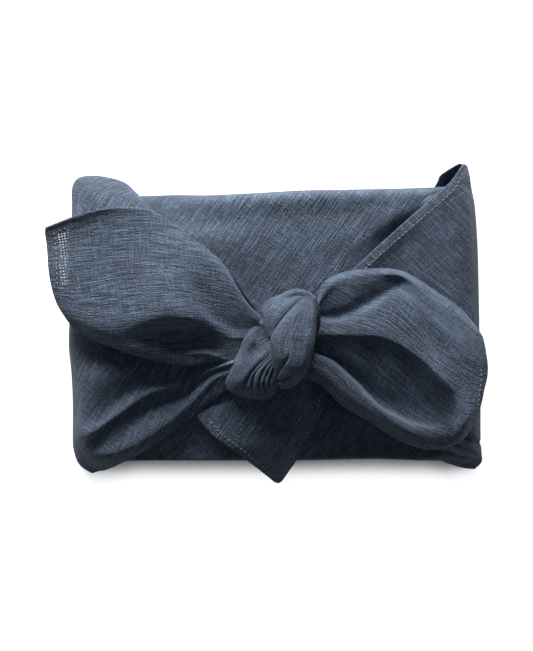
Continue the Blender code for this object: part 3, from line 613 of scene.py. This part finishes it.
def add_node(tree, kind, inputs=None, **options):
    """A shader node with its options, and what its inputs are fed."""
    node = tree.nodes.new(kind)
    for key, value in options.items():
        setattr(node, key, value)
    feed(tree, node, inputs or {})
    return node


def maths(tree, operation, *values):
    """The result of some maths on numbers or sockets."""
    return add_node(tree, "ShaderNodeMath", dict(enumerate(values)), operation=operation).outputs[0]


def threads(tree, weave, scale, detail):
    """Uneven threads that run one way through the cloth: a noise drawn out along them."""
    drawn_out = add_node(tree, "ShaderNodeMapping", {"Vector": weave, "Scale": (*scale, 1)}).outputs[0]
    inputs = {"Vector": drawn_out, "Scale": 1.0, "Detail": detail, "Roughness": 0.6}
    return add_node(tree, "ShaderNodeTexNoise", inputs, noise_dimensions="2D").outputs[0]


def weighted(tree, sockets, shares):
    """The sum of several named sockets, each times its share."""
    total = 0.0
    for name, share in shares.items():
        total = maths(tree, "ADD", maths(tree, "MULTIPLY", sockets[name], share), total)
    return total


def between(tree, socket, low, high, kind="SMOOTHSTEP"):
    """A step from 0 to 1 as a socket goes from low to high, soft unless said."""
    inputs = {"Value": socket, "From Min": low, "From Max": high}
    return add_node(tree, "ShaderNodeMapRange", inputs, interpolation_type=kind).outputs[0]


def graded(tree, socket, *colours):
    """Colours that follow one another evenly as a socket goes from 0 to 1."""
    ramp = add_node(tree, "ShaderNodeValToRGB", {0: socket})
    elements = ramp.color_ramp.elements
    for i in range(1, len(colours) - 1):
        elements.new(i / (len(colours) - 1))
    for element, colour in zip(elements, colours):
        element.color = (*colour, 1)
    return ramp.outputs[0]


def new_material(name, inputs):
    """A material, its nodes and its shader, with what the shader's inputs are fed."""
    material = bpy.data.materials.new(name)
    material.use_nodes = True
    tree = material.node_tree
    shader = tree.nodes["Principled BSDF"]
    feed(tree, shader, inputs)
    return material, tree, shader


def linen(name, colours, sizes, sheer):
    """Slub linen: uneven threads both ways, thick slubs, a dry soft sheen and, where sheer, open holes."""
    material, tree, shader = new_material(name, {
        "Roughness": 0.62,
        "Specular IOR Level": 0.55,
        "Sheen Weight": colours.sheen,
        "Sheen Roughness": 0.5,
        "Sheen Tint": (0.78, 0.86, 1.0, 1),
    })
    weave = add_node(tree, "ShaderNodeUVMap", uv_map="weave").outputs[0]
    fine = 1.0 / sizes.thread_pitch
    parts = {"patch": threads(tree, weave, PATCHES, 2)}
    for kind, (u, v, detail) in THREADS.items():
        parts[kind] = threads(tree, weave, (fine * u, fine * v), detail)
    for kind, (source, low, high) in SLUBS.items():
        parts[kind] = between(tree, parts[source], low, high)
    tone = between(tree, weighted(tree, parts, TONE), *TONE_RANGE, "LINEAR")
    bump = add_node(tree, "ShaderNodeBump", {
        "Strength": 1.0,
        "Distance": sizes.thread_pitch * RELIEF_DEPTH,
        "Height": weighted(tree, parts, RELIEF),
    })
    feed(tree, shader, {
        "Base Color": graded(tree, tone, colours.shade, colours.linen, colours.light),
        "Normal": bump.outputs[0],
    })
    if sheer:
        flat = add_node(tree, "ShaderNodeSeparateXYZ", {0: weave}).outputs
        turns = 2 * math.pi / (sizes.thread_pitch * HOLE_PITCH)
        open_part = add_node(tree, "ShaderNodeAttribute", attribute_name="open_weave").outputs["Fac"]
        waves = [maths(tree, "SINE", maths(tree, "MULTIPLY", flat[k], turns)) for k in (0, 1)]
        holes, others = (between(tree, wave, *edges) for wave, edges in zip(waves, HOLE_WAVES))
        for part in (others, between(tree, parts["pebble"], *HOLE_PEBBLE), open_part, HOLE_CLEAR):
            holes = maths(tree, "MULTIPLY", holes, part)
        feed(tree, shader, {"Alpha": maths(tree, "SUBTRACT", 1.0, holes)})
    return material


def sewing_thread(colours):
    """The pale blue-grey thread of the hem stitches, with painted shade between the strands of its twist,
    laid as a random noise.
    """
    material, tree, shader = new_material("sewing_thread", {"Roughness": 0.7})
    place = add_node(tree, "ShaderNodeTexCoord").outputs["Object"]
    inputs = {"Vector": place, "Scale": TWIST, "Detail": 2.0}
    twist = add_node(tree, "ShaderNodeTexNoise", inputs).outputs[0]
    # Painted shade: the thread's colour darkens at random, standing in for the shade between its strands.
    dark = [PAINTED_STRAND_SHADE * part for part in colours.thread]
    feed(tree, shader, {"Base Color": graded(tree, twist, dark, colours.thread)})
    return material


def studio_floor(colours):
    """The plain bright floor, which glows, with a painted shadow that dims its glow where the wrap stands
    between it and the light.
    """
    inputs = {"Base Color": (*colours.floor, 1), "Roughness": 0.9, "Emission Color": (1, 1, 1, 1)}
    material, tree, shader = new_material("studio_floor", inputs)
    side = add_node(tree, "ShaderNodeCombineXYZ", SHADOW_SIDE).outputs[0]
    near = add_node(tree, "ShaderNodeAmbientOcclusion", {"Distance": SHADOW_REACH, "Normal": side})
    # Painted shadow: the glow fades near the wrap, by ambient occlusion towards the side it stands on.
    painted_shadow = maths(tree, "SUBTRACT", 1.0, near.outputs["AO"])
    painted_shadow = maths(tree, "POWER", maths(tree, "MULTIPLY", painted_shadow, SHADOW_DEPTH), SHADOW_CURVE)
    glow_outside_painted_shadow = maths(tree, "MAXIMUM", maths(tree, "SUBTRACT", 1.0, painted_shadow), 0.0)
    seen = add_node(tree, "ShaderNodeLightPath").outputs["Is Camera Ray"]
    glow = maths(tree, "ADD", maths(tree, "MULTIPLY", seen, GLOW[0]), GLOW[1])
    feed(tree, shader, {"Emission Strength": maths(tree, "MULTIPLY", glow_outside_painted_shadow, glow)})
    return material


class FuroshikiSizes(bpy.types.PropertyGroup):
    thickness: FloatProperty(
        name="Cloth thickness", description="Thickness of one layer of the linen", default=0.001,
        unit="LENGTH",
    )
    hem_width: FloatProperty(
        name="Hem width", description="Width of the turned and stitched hem", default=0.0075, unit="LENGTH"
    )
    hem_rise: FloatProperty(
        name="Hem rise", description="How far the hem's folded layers stand up", default=0.0002, unit="LENGTH"
    )
    stitch_pitch: FloatProperty(
        name="Stitch pitch", description="Distance from one stitch to the next", default=0.0033, unit="LENGTH"
    )
    stitch_length: FloatProperty(
        name="Stitch length", description="Length of the thread that shows", default=0.0021, unit="LENGTH"
    )
    stitch_width: FloatProperty(
        name="Stitch width", description="Thickness of the sewing thread", default=0.0007, unit="LENGTH"
    )
    thread_pitch: FloatProperty(
        name="Thread pitch", description="Distance from one thread of the linen to the next", default=0.001,
        unit="LENGTH",
    )


class FuroshikiColours(bpy.types.PropertyGroup):
    linen: FloatVectorProperty(
        name="Linen", description="Colour of the cloth", subtype="COLOR", default=(0.0358, 0.0598, 0.1062)
    )
    shade: FloatVectorProperty(
        name="Dark threads", description="Colour of the darker threads", subtype="COLOR",
        default=(0.015, 0.027, 0.048),
    )
    light: FloatVectorProperty(
        name="Light threads", description="Colour of the paler threads and slubs", subtype="COLOR",
        default=(0.095, 0.1425, 0.218),
    )
    thread: FloatVectorProperty(
        name="Sewing thread", description="Colour of the hem stitches", subtype="COLOR",
        default=(0.36, 0.36, 0.35),
    )
    floor: FloatVectorProperty(
        name="Floor", description="Colour of the studio floor", subtype="COLOR", default=(0.86, 0.86, 0.86)
    )
    sheen: FloatProperty(
        name="Sheen", description="Strength of the soft sheen of the fibres", default=0.25, min=0, max=1,
        subtype="FACTOR",
    )


def settings(context):
    """The wrap's sizes and its colours."""
    return context.scene.furoshiki_sizes, context.scene.furoshiki_colours


def cloth_material(context, name="slub_linen"):
    """The linen of that name, made once. Only the open linen is sheer."""
    sizes, colours = settings(context)
    return bpy.data.materials.get(name) or linen(name, colours, sizes, name == "open_linen")


def open_patch(points, sizes):
    """Where the left end's weave is drawn open: just inside its two hems near the corner."""
    inside = np.minimum(edge_gap(points, "far"), edge_gap(points, "first")) - sizes.hem_width / MM
    left = OPEN_START[0] - points[..., 0]
    above = points[..., 1] - OPEN_START[1]
    return smooth(inside / OPEN_FADE[2]) * smooth(left / OPEN_FADE[0]) * smooth(above / OPEN_FADE[1])


def sheet_piece(
    context, name, table, across, along, grain, hems=(), creases=(), uneven=(28, 0.5, 1),
    material="slub_linen",
):
    """Makes one layer of the cloth from its table, on across lines of along points."""
    sizes = context.scene.furoshiki_sizes
    points = net(table, across, along)
    rise = hem(points, hems, sizes) + unevenness(points, *uneven)
    for _, *shape in creases:
        rise = rise + crease(points, *shape)
    points = points + facing(points) * rise[..., None]
    lay_threads, *turns = grain
    open_share = open_patch(points, sizes) if material == "open_linen" else None
    piece = cloth(name, points, lay_threads(points, *turns), sizes.thickness, open_share)
    finish_piece(piece, cloth_material(context, material))
    NETS[name] = points


class FUROSHIKI_OT_parcel(bpy.types.Operator):
    """Make the parcel: cloth drawn smooth round a flat block, with its folded corners"""

    bl_idname = "furoshiki.parcel"
    bl_label = "Parcel"

    def execute(self, context):
        mesh = bmesh.new()
        bmesh.ops.create_uvsphere(mesh, u_segments=PARCEL_STEPS[0], v_segments=PARCEL_STEPS[1], radius=1.0)
        knots = np.array(OUTLINE[-2:] + OUTLINE + OUTLINE[:3], float)  # and on past its join
        weights = knot_weights(len(knots), (len(knots) - 1) * OUTLINE_STEPS + 1)
        outline = (weights @ knots)[2 * OUTLINE_STEPS : (2 + len(OUTLINE)) * OUTLINE_STEPS + 1]
        turns = np.linspace(0, 1, len(outline))
        for vert in mesh.verts:
            turn = (math.atan2(vert.co.y, vert.co.x) / (2 * math.pi)) % 1.0
            x, y, belly, shoulder, inset = (np.interp(turn, turns, outline[:, k]) for k in range(5))
            tilt = math.asin(max(-1, min(1, vert.co.z))) / (math.pi / 2)
            to_spine = min(max(x, SPINE[0]), SPINE[1]) - x
            run = math.hypot(to_spine, y)
            if abs(tilt) <= SIDE_SHARE:
                bend = tilt / SIDE_SHARE * math.pi / 2
                reach = inset * (1 - math.cos(bend))
                z = belly + (belly if tilt < 0 else shoulder - belly) * math.sin(bend)
            else:
                share = (abs(tilt) - SIDE_SHARE) / (1 - SIDE_SHARE)
                reach = inset + (run - inset) * share
                z = 0
            px, py = x + to_spine / run * reach, y - y / run * reach
            if tilt > SIDE_SHARE:
                crown = FRONT + CROWN * (1 - (px / CROWN_HALF[0]) ** 2) * (1 - (py / CROWN_HALF[1]) ** 2)
                z = shoulder + (crown - shoulder) * min(1, CROWN_SLOPE * share)
            vert.co = Vector((px, py, z)) * MM
        weave = mesh.loops.layers.uv.new("weave")
        for face in mesh.faces:
            corners = np.array([[loop.vert.co[:] for loop in face.loops]]) / MM
            for loop, uv in zip(face.loops, flat_grain(corners, 56)[0]):
                loop[weave].uv = uv
        bmesh.ops.recalc_face_normals(mesh, faces=mesh.faces)
        piece = finish_piece(to_object("parcel", mesh), cloth_material(context))
        return {"FINISHED"}


class FUROSHIKI_OT_top_flap(bpy.types.Operator):
    """Make the layer that comes over the top edge and ends in a hemmed point below the knot"""

    bl_idname = "furoshiki.top_flap"
    bl_label = "Top flap"

    def execute(self, context):
        hems = ("first", 0, 1), ("last", 0, 1)
        sheet_piece(context, "top_flap", TOP_FLAP, 150, 180, (flat_grain, 56), hems)
        return {"FINISHED"}


class FUROSHIKI_OT_side_wraps(bpy.types.Operator):
    """Make the layers that come round the two sides and are gathered into the knot"""

    bl_idname = "furoshiki.side_wraps"
    bl_label = "Side wraps"

    def execute(self, context):
        sheet_piece(context, "left_wrap", LEFT_WRAP, 170, 170, (flat_grain, 60), creases=LEFT_WRAP_CREASES)
        sheet_piece(
            context, "right_wrap", RIGHT_WRAP, 170, 150, (flat_grain, -45), (("first", 0, 1),),
            RIGHT_WRAP_CREASES,
        )
        return {"FINISHED"}


class FUROSHIKI_OT_peak(bpy.types.Operator):
    """Make the small pocket that stands up where the right layer turns over at the top"""

    bl_idname = "furoshiki.peak"
    bl_label = "Corner peak"

    def execute(self, context):
        sheet_piece(context, "peak", PEAK, 40, 70, (flat_grain, 45))
        return {"FINISHED"}


class FUROSHIKI_OT_knot(bpy.types.Operator):
    """Make the knot: a smooth front lobe, a lobe behind it and the pleated lobe at its lower left"""

    bl_idname = "furoshiki.knot"
    bl_label = "Knot"

    def execute(self, context):
        for name, table, creases, across, along, turn in (
            ("knot_back", KNOT_BACK, KNOT_BACK_CREASES, 80, 110, 0),
            ("knot_pleats", KNOT_PLEATS, KNOT_PLEATS_CREASES, 220, 100, 35),
            ("knot_front", KNOT_FRONT, KNOT_FRONT_CREASES, 100, 130, 0),
        ):
            sheet_piece(
                context, name, table, across, along, (fold_grain, turn), creases=creases,
                uneven=(9, 0.4, 4),
            )
        return {"FINISHED"}


class FUROSHIKI_OT_ends(bpy.types.Operator):
    """Make the two tied ends that spread out from the knot"""

    bl_idname = "furoshiki.ends"
    bl_label = "Tied ends"

    def execute(self, context):
        sheet_piece(
            context, "left_end", LEFT_END, 140, 170, (mixed_grain, 6, -1),
            hems=(("first", 0.72, 1), ("far", 0, 1)), creases=LEFT_END_CREASES,
            material="open_linen",
        )
        sheet_piece(
            context, "right_end", RIGHT_END, 190, 190, (mixed_grain, -27, 1),
            hems=(("last", 0.5, 1), ("far", 0.2, 1)),
        )
        return {"FINISHED"}


class FUROSHIKI_OT_stitches(bpy.types.Operator):
    """Sew the hems: a row of small stitches along each hem that shows"""

    bl_idname = "furoshiki.stitches"
    bl_label = "Stitches"

    def execute(self, context):
        sizes, colours = settings(context)
        mesh = bmesh.new()
        for name, edge, first, last in (
            ("right_wrap", "first", 0.12, 0.85),
            ("top_flap", "first", 0.7, 0.99),
            ("top_flap", "last", 0.7, 0.99),
            ("left_end", "first", 0.9, 0.97),
            ("left_end", "far", 0.05, 0.55),
            ("right_end", "last", 0.55, 0.97),
            ("right_end", "far", 0.35, 0.97),
        ):
            stitch_row(mesh, NETS[name], edge, sizes, first, last)
        finish_piece(to_object("stitches", mesh), sewing_thread(colours))
        return {"FINISHED"}


class FUROSHIKI_OT_stage(bpy.types.Operator):
    """Make the plain studio floor, the light and the camera above the front"""

    bl_idname = "furoshiki.stage"
    bl_label = "Studio"

    def execute(self, context):
        scene = context.scene
        mesh = bmesh.new()
        bmesh.ops.create_grid(mesh, x_segments=8, y_segments=8, size=FLOOR_HALF)
        bmesh.ops.translate(mesh, vec=(0, 0, FLOOR_HEIGHT), verts=mesh.verts)
        floor = to_object("floor", mesh)
        floor.data.materials.append(studio_floor(scene.furoshiki_colours))
        lamp = bpy.data.lights.new("key", "AREA")
        lamp.shape = "RECTANGLE"
        lamp.size, lamp.size_y = KEY_SIZE
        lamp.energy = KEY_POWER
        key = bpy.data.objects.new("key", lamp)
        key.location = KEY_PLACE
        key.rotation_euler = (-Vector(KEY_PLACE)).to_track_quat("-Z", "Y").to_euler()
        scene.collection.objects.link(key)
        world = bpy.data.worlds.new("studio")
        world.use_nodes = True
        background = world.node_tree.nodes["Background"]
        feed(world.node_tree, background, {"Color": SKY_COLOUR, "Strength": SKY})
        scene.world = world
        scene.view_settings.view_transform = "Standard"
        lens = bpy.data.cameras.new("camera")
        camera = bpy.data.objects.new("camera", lens)
        camera.location = CAMERA_PLACE
        lens.lens = lens.sensor_width * CAMERA_DISTANCE / FRAME_HEIGHT
        lens.clip_end = 10.0
        scene.collection.objects.link(camera)
        scene.camera = camera
        return {"FINISHED"}


class FUROSHIKI_PT_panel(bpy.types.Panel):
    """Lists the wrap's sizes, colours and pieces"""

    bl_idname = "FUROSHIKI_PT_panel"
    bl_label = "Furoshiki wrap"
    bl_space_type = "VIEW_3D"
    bl_region_type = "UI"
    bl_category = "Furoshiki"

    def draw(self, context):
        for group in settings(context):
            box = self.layout.box()
            for name in group.__annotations__:
                box.prop(group, name)
        column = self.layout.column(align=True)
        for operator in OPERATORS:
            column.operator(operator.bl_idname)


OPERATORS = (
    FUROSHIKI_OT_parcel,
    FUROSHIKI_OT_top_flap,
    FUROSHIKI_OT_side_wraps,
    FUROSHIKI_OT_peak,
    FUROSHIKI_OT_knot,
    FUROSHIKI_OT_ends,
    FUROSHIKI_OT_stitches,
    FUROSHIKI_OT_stage,
)
CLASSES = (FuroshikiSizes, FuroshikiColours, *OPERATORS, FUROSHIKI_PT_panel)


def register():
    for cls in CLASSES:
        bpy.utils.register_class(cls)
    bpy.types.Scene.furoshiki_sizes = PointerProperty(type=FuroshikiSizes)
    bpy.types.Scene.furoshiki_colours = PointerProperty(type=FuroshikiColours)


def unregister():
    del bpy.types.Scene.furoshiki_colours
    del bpy.types.Scene.furoshiki_sizes
    for cls in reversed(CLASSES):
        bpy.utils.unregister_class(cls)


def main():
    register()
    bpy.ops.furoshiki.parcel()
    bpy.ops.furoshiki.top_flap()
    bpy.ops.furoshiki.side_wraps()
    bpy.ops.furoshiki.peak()
    bpy.ops.furoshiki.knot()
    bpy.ops.furoshiki.ends()
    bpy.ops.furoshiki.stitches()
    bpy.ops.furoshiki.stage()


if __name__ == "__main__":
    main()
